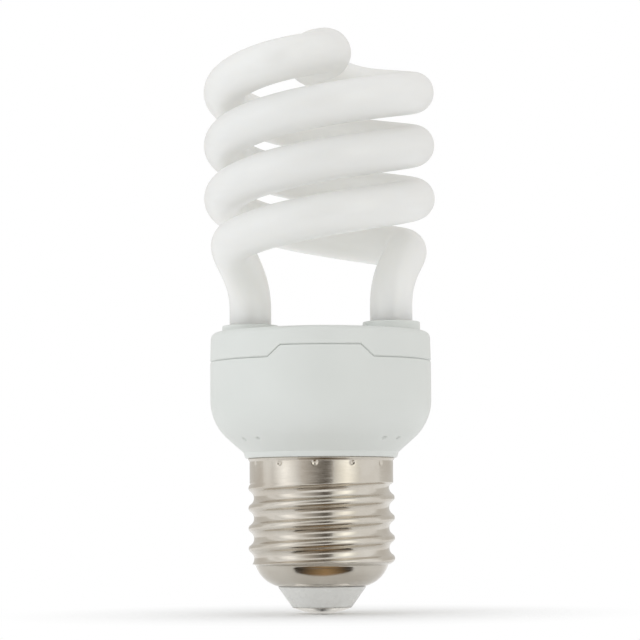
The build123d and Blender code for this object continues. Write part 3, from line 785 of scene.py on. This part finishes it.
# %% [markdown]
# The housing is a moulded bowl that closes onto the cap. Its upper edge is the seam, level all round but
# raised over a tab at the front and the back, and four pairs of pin-sized vents sit low on the bowl. The bowl
# is a straight slope that leaves the lip as a tangent to the big corner, so its angle is worked out from
# the two.

# %% Sizes of the housing
lip_low = shell_high
lip_radius = 13.95
lip_draft = 0.3
lip_height = 1.0
body_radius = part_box("ballast_housing")[1].x / MM
wall = 1.3
bowl_corner = 9.2
bowl_top = 38.3
tab_height = 2.05
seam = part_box("ballast_housing")[1].z / MM - tab_height
neck_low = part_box("ballast_housing")[0].z / MM
neck_radius = 11.4
vent_rise = 2.2
corner_middle = body_radius - bowl_corner
lip_high = lip_low + lip_height
to_lip = Vector((lip_radius - corner_middle, lip_high - bowl_top))
bowl_angle = math.atan2(to_lip.y, to_lip.x) + math.acos(bowl_corner / to_lip.length)
slope = -1 / math.tan(bowl_angle)
bowl_knee = lip_high + slope * (body_radius - lip_radius)
housing_sizes = {
    "Seam Height": seam,
    "Lift From": bowl_top,
    "Tab Height": tab_height,
    "Tab Top": 7.0,
    "Tab Foot": 9.3,
    "Vent Circle": lip_radius + vent_rise / slope,
    "Vent Angle": 49 / 360,
    "Vent Pair": 6.5 / 360,
    "Vent Radius": 0.38,
    "Vent Depth": 0.7,
}
print("seam at", round(seam, 2), "mm, bowl slopes", round(math.degrees(math.atan(slope)), 1), "degrees")

# %% [markdown]
# The blank is turned with a level edge. The edge is rounded and comes close to the cover above it, so that
# the seam shows as a fine line and not as a black gap. The slope gets close rings for the vents.

# %% Housing blank
seam_close = 0.06
seam_round = 0.25
lip_round = 0.3
small_round = 0.1
inner_share = 0.6
inner_slope = lip_high + wall * inner_share
housing_wall = [
    (neck_radius, neck_low, 0.0),
    (neck_radius, lip_low, 0.0),
    (lip_radius - lip_draft, lip_low, lip_round),
    (lip_radius, lip_high, small_round),
    (body_radius, bowl_knee, bowl_corner),
    (body_radius, seam + seam_close, seam_round),
    (body_radius - wall, seam + seam_close, small_round),
    (body_radius - wall, bowl_knee + wall / 2, bowl_corner - wall),
    (neck_radius - wall, inner_slope, 0.0),
    (neck_radius - wall, neck_low, 0.0),
]
blank = rounded(housing_wall, arc_steps=16)
blank = spaced(blank, lip_high, bowl_top + height_margin, step=0.16)
housing_blank = turned("housing_blank", blank, sides=540)

# %% [markdown]
# The tree lifts what is near the edge by the tab's height, full at the edge and nothing at the bowl's top,
# and pricks the vents. Cutting the tab or drilling the vents with Booleans would leave ragged faces. The
# angle is folded three times, so one rule for one vent makes all eight.


# %% Raising the seam and pricking the vents
def clamped(wire):
    return wire.math("MAXIMUM", 0.0).math("MINIMUM", 1.0)


vent_edge = 1.25
prick_slant = 0.7
tree, given = start_tree("ballast_housing", housing_sizes)
across, along, height, radius, turn = round_place(tree)
from_foot = given["Tab Foot"] - across.math("ABSOLUTE")
tab = given["Tab Height"] * clamped(from_foot / (given["Tab Foot"] - given["Tab Top"]))
share = (height - given["Lift From"]) / (given["Seam Height"] - given["Lift From"])
lifted = height + tab * clamped(share)
from_side = (turn * 2 + 0.5).fold() / 2
from_pair = (from_side - given["Vent Angle"]).math("ABSOLUTE")
from_vent = (from_pair - given["Vent Pair"]).math("ABSOLUTE") * math.tau * radius
off_circle = (radius - given["Vent Circle"]) * math.sqrt(1 + slope**2)
away = (from_vent * from_vent + off_circle * off_circle).math("SQRT")
inside = clamped(vent_edge - away / given["Vent Radius"])
prick = given["Vent Depth"] * inside * radius.math("GREATER_THAN", lip_radius) * prick_slant
scale = 1 - prick / radius
end_tree(tree, set_round_place(tree, given["Geometry"], across, along, lifted + prick, scale), plastic)
housing = grow("housing", tree, housing_sizes, housing_blank)
dress(housing, "white_plastic", "ballast_housing")

# %% [markdown]
# The cover keeps its CAD mesh, whose dome, collars and bevelled seam are already right, and takes the same
# plastic as the housing. The parts of the ballast are sealed in, but they are there to be found when the
# lamp is opened in another scene, so each gets a finish of its own from one recipe: two colours in clouds,
# a range of roughness and a grain.


# %% Finishes for carried-over parts
def plain_finish(name, first, second, rough, grain, metallic=0.0):
    """Clouds of two colours as big as the grain, roughness in patches of a third and bumps of a quarter."""
    material, tree, shader, place = finish_tree(name, Metallic=metallic)
    clouds = noise(tree, place, grain)
    plug(blend_colours(tree, clouds, first, second), shader.inputs["Base Color"])
    plug(between(tree, noise(tree, place, grain / 3), *rough), shader.inputs["Roughness"])
    bump(tree, shader, noise(tree, place, grain / 4), depth=0.01)
    return material


recipes = {
    "cement": ((0.66, 0.65, 0.60), (0.72, 0.71, 0.67), (0.6, 0.8), 1.5),
    "board": ((0.36, 0.22, 0.09), (0.44, 0.29, 0.13), (0.5, 0.7), 2.0),
    "ferrite": ((0.020, 0.020, 0.022), (0.045, 0.045, 0.050), (0.55, 0.75), 1.0),
    "bobbin": ((0.012, 0.012, 0.012), (0.020, 0.020, 0.020), (0.4, 0.55), 1.5),
    "copper": ((0.55, 0.22, 0.09), (0.68, 0.30, 0.13), (0.25, 0.4), 0.8, 1.0),
    "capacitor_sleeve": ((0.006, 0.008, 0.014), (0.012, 0.015, 0.025), (0.25, 0.35), 3.0),
    "film_dip": ((0.20, 0.020, 0.010), (0.27, 0.032, 0.016), (0.25, 0.4), 2.0),
    "epoxy": ((0.008, 0.008, 0.008), (0.016, 0.016, 0.016), (0.5, 0.65), 0.8),
    "resistor_coat": ((0.46, 0.33, 0.15), (0.54, 0.41, 0.21), (0.4, 0.55), 1.0),
    "lead_wire": ((0.52, 0.52, 0.51), (0.62, 0.62, 0.61), (0.25, 0.4), 1.0, 1.0),
    "wire_cover": ((0.58, 0.58, 0.55), (0.66, 0.66, 0.63), (0.35, 0.5), 1.5),
}
inner_finishes = {name: plain_finish(name, *recipe) for name, recipe in recipes.items()}
inner_finishes["white_plastic"] = plastic
carried = 0
for subpart in frame["record"]["subparts"]:
    finish = inner_finishes.get(subpart["material_slot"])
    if finish is None or nodes[subpart["node"]].hide_render:
        continue
    mesh = nodes[subpart["node"]].data
    mesh.materials.clear()
    mesh.materials.append(finish)
    carried += 1
print("carried-over parts with a finish:", carried)

# %% [markdown]
# The surround. What lights the lamp and what is seen behind it are kept apart: rays that come from the
# camera, straight, mirrored or through glass, meet a plain white of strength 1, so the background is white
# without more light on the lamp. All other rays meet soft light at a plain level, a little stronger from
# behind and weaker from above, as in a studio with a white wall and a dim ceiling.


# %% Surround
def seen_rays(tree):
    """1 for rays that show the surround to the camera, directly, mirrored or through glass."""
    path = tree.nodes.new("ShaderNodeLightPath")
    seen = Wire(tree, path.outputs["Is Camera Ray"])
    for label in ("Is Glossy Ray", "Is Transmission Ray"):
        seen = seen.math("MAXIMUM", Wire(tree, path.outputs[label]))
    return seen


level_light = 0.90
extra_behind = 0.24
less_above = 0.12
WHITE = (1, 1, 1, 1)
world = bpy.data.worlds.new("studio")
world.use_nodes = True
scene.world = world
tree = world.node_tree
lit = tree.nodes["Background"]
lit.inputs["Color"].default_value = WHITE
towards = Wire(tree, tree.nodes.new("ShaderNodeTexCoord").outputs["Generated"])
split = node_in(tree, "ShaderNodeSeparateXYZ", Vector=towards)
strength = out(split, 1) * extra_behind - out(split, 2) * less_above + level_light
plug(strength, lit.inputs["Strength"])
white = node_in(tree, "ShaderNodeBackground", Color=WHITE, Strength=1.0)
mixed = node_in(tree, "ShaderNodeMixShader", Fac=seen_rays(tree))
plug(out(lit), mixed.inputs[1])
plug(out(white), mixed.inputs[2])
plug(out(mixed), tree.nodes["World Output"].inputs["Surface"])
print("surround lights at", level_light, "and shows white at 1.0")

# %% [markdown]
# The floor is matt white and is lit like anything else under the lamp, so it keeps the lamp's soft shadow.
# Further out it fades into the same white as the surround for the rays that the camera sees, so no edge
# or horizon shows.

# %% Floor
floor_half = 2.0
fade_from = 8 * MM
fade_to = 64 * MM
floor_white, tree, shader, place = finish_tree("floor_white", Roughness=0.8, Specular_IOR_Level=0.0)
grain = noise(tree, place, grain=3)
plug(blend_colours(tree, grain, (0.965, 0.965, 0.965), (0.98, 0.98, 0.98)), shader.inputs["Base Color"])
away = out(node_in(tree, "ShaderNodeVectorMath", {"operation": "LENGTH"}, Vector=place), 1)
softly = {"interpolation_type": "SMOOTHSTEP"}
fade = out(node_in(tree, "ShaderNodeMapRange", softly, Value=away, From_Min=fade_from, From_Max=fade_to))
glow = node_in(tree, "ShaderNodeEmission", Strength=1.0)
mixed = node_in(tree, "ShaderNodeMixShader", Fac=fade * seen_rays(tree))
plug(out(shader), mixed.inputs[1])
plug(out(glow), mixed.inputs[2])
plug(out(mixed), tree.nodes["Material Output"].inputs["Surface"])
floor_mesh = bpy.data.meshes.new("floor")
corners = [(x * floor_half, y * floor_half, 0) for x, y in ((-1, -1), (1, -1), (1, 1), (-1, 1))]
floor_mesh.from_pydata(corners, [], [(0, 1, 2, 3)])
floor_mesh.materials.append(floor_white)
floor = bpy.data.objects.new("floor", floor_mesh)
scene.collection.objects.link(floor)
print("floor fades to white from", fade_from / MM, "to", fade_to / MM, "mm")

# %% [markdown]
# Two tall softboxes, a cooler one to the left and a weaker, warmer one to the right, give the white parts
# their gentle turn from light to shade. They could light the metal too, but its bright bands would then
# change with every change to the shading. So they are hidden from mirrors, and cards make the bands, further
# down.


# %% Softboxes
def round_about(azimuth, distance, height=0.0):
    """A place at a bearing in degrees from the camera's side, seen from above."""
    turn = math.radians(azimuth)
    return (math.sin(turn) * distance, -math.cos(turn) * distance, height)


def hang_unseen(lamp_object):
    """Puts a lamp in the scene, hidden from the camera and from mirrors."""
    lamp_object.visible_camera = False
    lamp_object.visible_glossy = False
    scene.collection.objects.link(lamp_object)


left_bearing = -60
right_bearing = 42
box_distance = 0.60
box_height = 0.30
box_size = (0.38, 0.56)


def softbox(name, azimuth, brightness, colour):
    """An area lamp whose face has the given brightness, aimed at the middle of the lamp."""
    lamp = bpy.data.lights.new(name, "AREA")
    lamp.shape = "RECTANGLE"
    lamp.size, lamp.size_y = box_size
    lamp.energy = brightness * math.pi * box_size[0] * box_size[1]
    lamp.color = colour
    box = bpy.data.objects.new(name, lamp)
    box.location = round_about(azimuth, box_distance, box_height)
    box.rotation_mode = "QUATERNION"
    box.rotation_quaternion = (Vector((0, 0, aim_height)) - box.location).to_track_quat("-Z", "Y")
    hang_unseen(box)


softbox("left_softbox", left_bearing, brightness=1.1, colour=(0.93, 0.98, 1.0))
softbox("right_softbox", right_bearing, brightness=0.5, colour=(1.0, 0.98, 0.90))
print("softboxes at", left_bearing, "and", right_bearing, "degrees")

# %% [markdown]
# Real coated glass lets light through, so the strands at the back of the coil are bright even where the front
# ones shade them. The scattering in the finish passes on less of that light than the photograph shows. More
# light from outside would wash out the front strands, so three very weak round lamps in the coil's core stand
# for it.

# %% Core lamps
core_power = 0.00036
core_radius = 5 * MM
core_heights = (72, 81, 90)
for core_height in core_heights:
    lamp = bpy.data.lights.new("core_lamp", "POINT")
    lamp.energy = core_power
    lamp.shadow_soft_size = core_radius
    core_lamp = bpy.data.objects.new("core_lamp", lamp)
    core_lamp.location = (0, 0, core_height * MM)
    hang_unseen(core_lamp)

# %% [markdown]
# Metal shows what stands round it. Real walls and lamps could stand there, but they would change the shading
# of the white parts as well. So cards stand there that show in reflections only. A card glows with one tone
# in its middle that drifts to another over its reach, sideways, because real reflections have soft sides.


# %% A card for mirrors
def mirror_card(name, corners, middle, edge, reach, place=(0, 0, 0), turn=0.0, strength=1.0):
    """A card for mirrors only. Corners, reach and place are in metres, the turn is in degrees."""
    mesh = bpy.data.meshes.new(name)
    mesh.from_pydata(corners, [], [tuple(range(len(corners)))])
    finish, tree, _, spot = finish_tree(name)
    across = out(node_in(tree, "ShaderNodeSeparateXYZ", Vector=spot))
    aside = across.math("ABSOLUTE") / reach * (NOISE_HIGH - NOISE_LOW) + NOISE_LOW
    glow = node_in(tree, "ShaderNodeEmission", Strength=strength)
    plug(blend_colours(tree, aside, middle, edge), glow.inputs["Color"])
    plug(out(glow), tree.nodes["Material Output"].inputs["Surface"])
    mesh.materials.append(finish)
    card = bpy.data.objects.new(name, mesh)
    card.location = place
    card.rotation_euler = (0, 0, math.radians(turn))
    card.visible_camera = False
    card.visible_diffuse = False
    card.visible_shadow = False
    card.visible_transmission = False
    scene.collection.objects.link(card)


# %% [markdown]
# In the photograph the nickel has two bright flanks from the softboxes, a dark strip between them from the
# unlit side of the room, and mid-grey edges from the far wall. Each is one standing card.


# %% Standing cards
def upright(left, right, top):
    return [(left, 0, 0), (right, 0, 0), (right, 0, top), (left, 0, top)]


mirror_card(
    "dark_card",
    upright(left=-0.30, right=0.09, top=0.5),
    middle=(0.10, 0.085, 0.07),
    edge=(0.75, 0.72, 0.68),
    reach=0.30,
    place=(0.04, -0.40, 0),
)
mirror_card(
    "back_card",
    upright(left=-1.0, right=1.0, top=0.8),
    middle=(0.72, 0.705, 0.68),
    edge=(0.77, 0.755, 0.73),
    reach=1.0,
    place=(0, 0.30, 0),
)
mirror_card(
    "left_card",
    upright(left=-0.30, right=0.30, top=0.6),
    middle=(1.0, 1.0, 1.0),
    edge=(0.5, 0.5, 0.5),
    reach=0.30,
    place=round_about(left_bearing, box_distance),
    turn=left_bearing,
    strength=1.50,
)
mirror_card(
    "right_card",
    upright(left=-0.24, right=0.24, top=0.6),
    middle=(1.0, 1.0, 0.95),
    edge=(0.5, 0.5, 0.48),
    reach=0.24,
    place=round_about(right_bearing, box_distance),
    turn=right_bearing,
    strength=1.72,
)

# %% [markdown]
# Four more cards lie just above the floor, for what the cap's lower parts mirror. The near one is the golden
# patch in the bowl, the far one darkens the flanks of the thread that look down, and the last two give the
# contact its pale dome with a small dark spot.


# %% Lying cards
def lying(near, far, near_half, far_half):
    """Corners of a flat card, wider or narrower at its far edge than at its near edge."""
    return [(-near_half, near, 0), (near_half, near, 0), (far_half, far, 0), (-far_half, far, 0)]


card_lift = 0.2 * MM
tip_lift = 0.05 * MM
tip_half = 6 * MM
spot_near = -3.8 * MM
spot_far = -3 * MM
tip_far = 6 * MM
mirror_card(
    "near_card",
    lying(near=-0.019, far=-0.0125, near_half=0.0188, far_half=0.0108),
    middle=(0.42, 0.27, 0.13),
    edge=(0.05, 0.04, 0.03),
    reach=0.010,
    place=(0.0012, 0, card_lift),
)
mirror_card(
    "far_card",
    lying(near=-0.045, far=-0.019, near_half=0.032, far_half=0.020),
    middle=(0.12, 0.09, 0.06),
    edge=(0.70, 0.66, 0.60),
    reach=0.026,
    place=(0.003, 0, card_lift),
)
mirror_card(
    "tip_card",
    lying(near=spot_far, far=tip_far, near_half=tip_half, far_half=tip_half),
    middle=(0.75, 0.74, 0.72),
    edge=(0.95, 0.94, 0.92),
    reach=0.004,
    place=(0, 0, tip_lift),
)
mirror_card(
    "spot_card",
    lying(near=spot_near, far=spot_far, near_half=tip_half, far_half=tip_half),
    middle=(0.05, 0.05, 0.05),
    edge=(1.0, 1.0, 0.98),
    reach=0.0022,
    place=(0, 0, tip_lift),
    strength=1.2,
)

# %% [markdown]
# Last, the view transform is set to Standard, so that a colour shows as it is written.

# %% Finish
scene.view_settings.view_transform = "Standard"
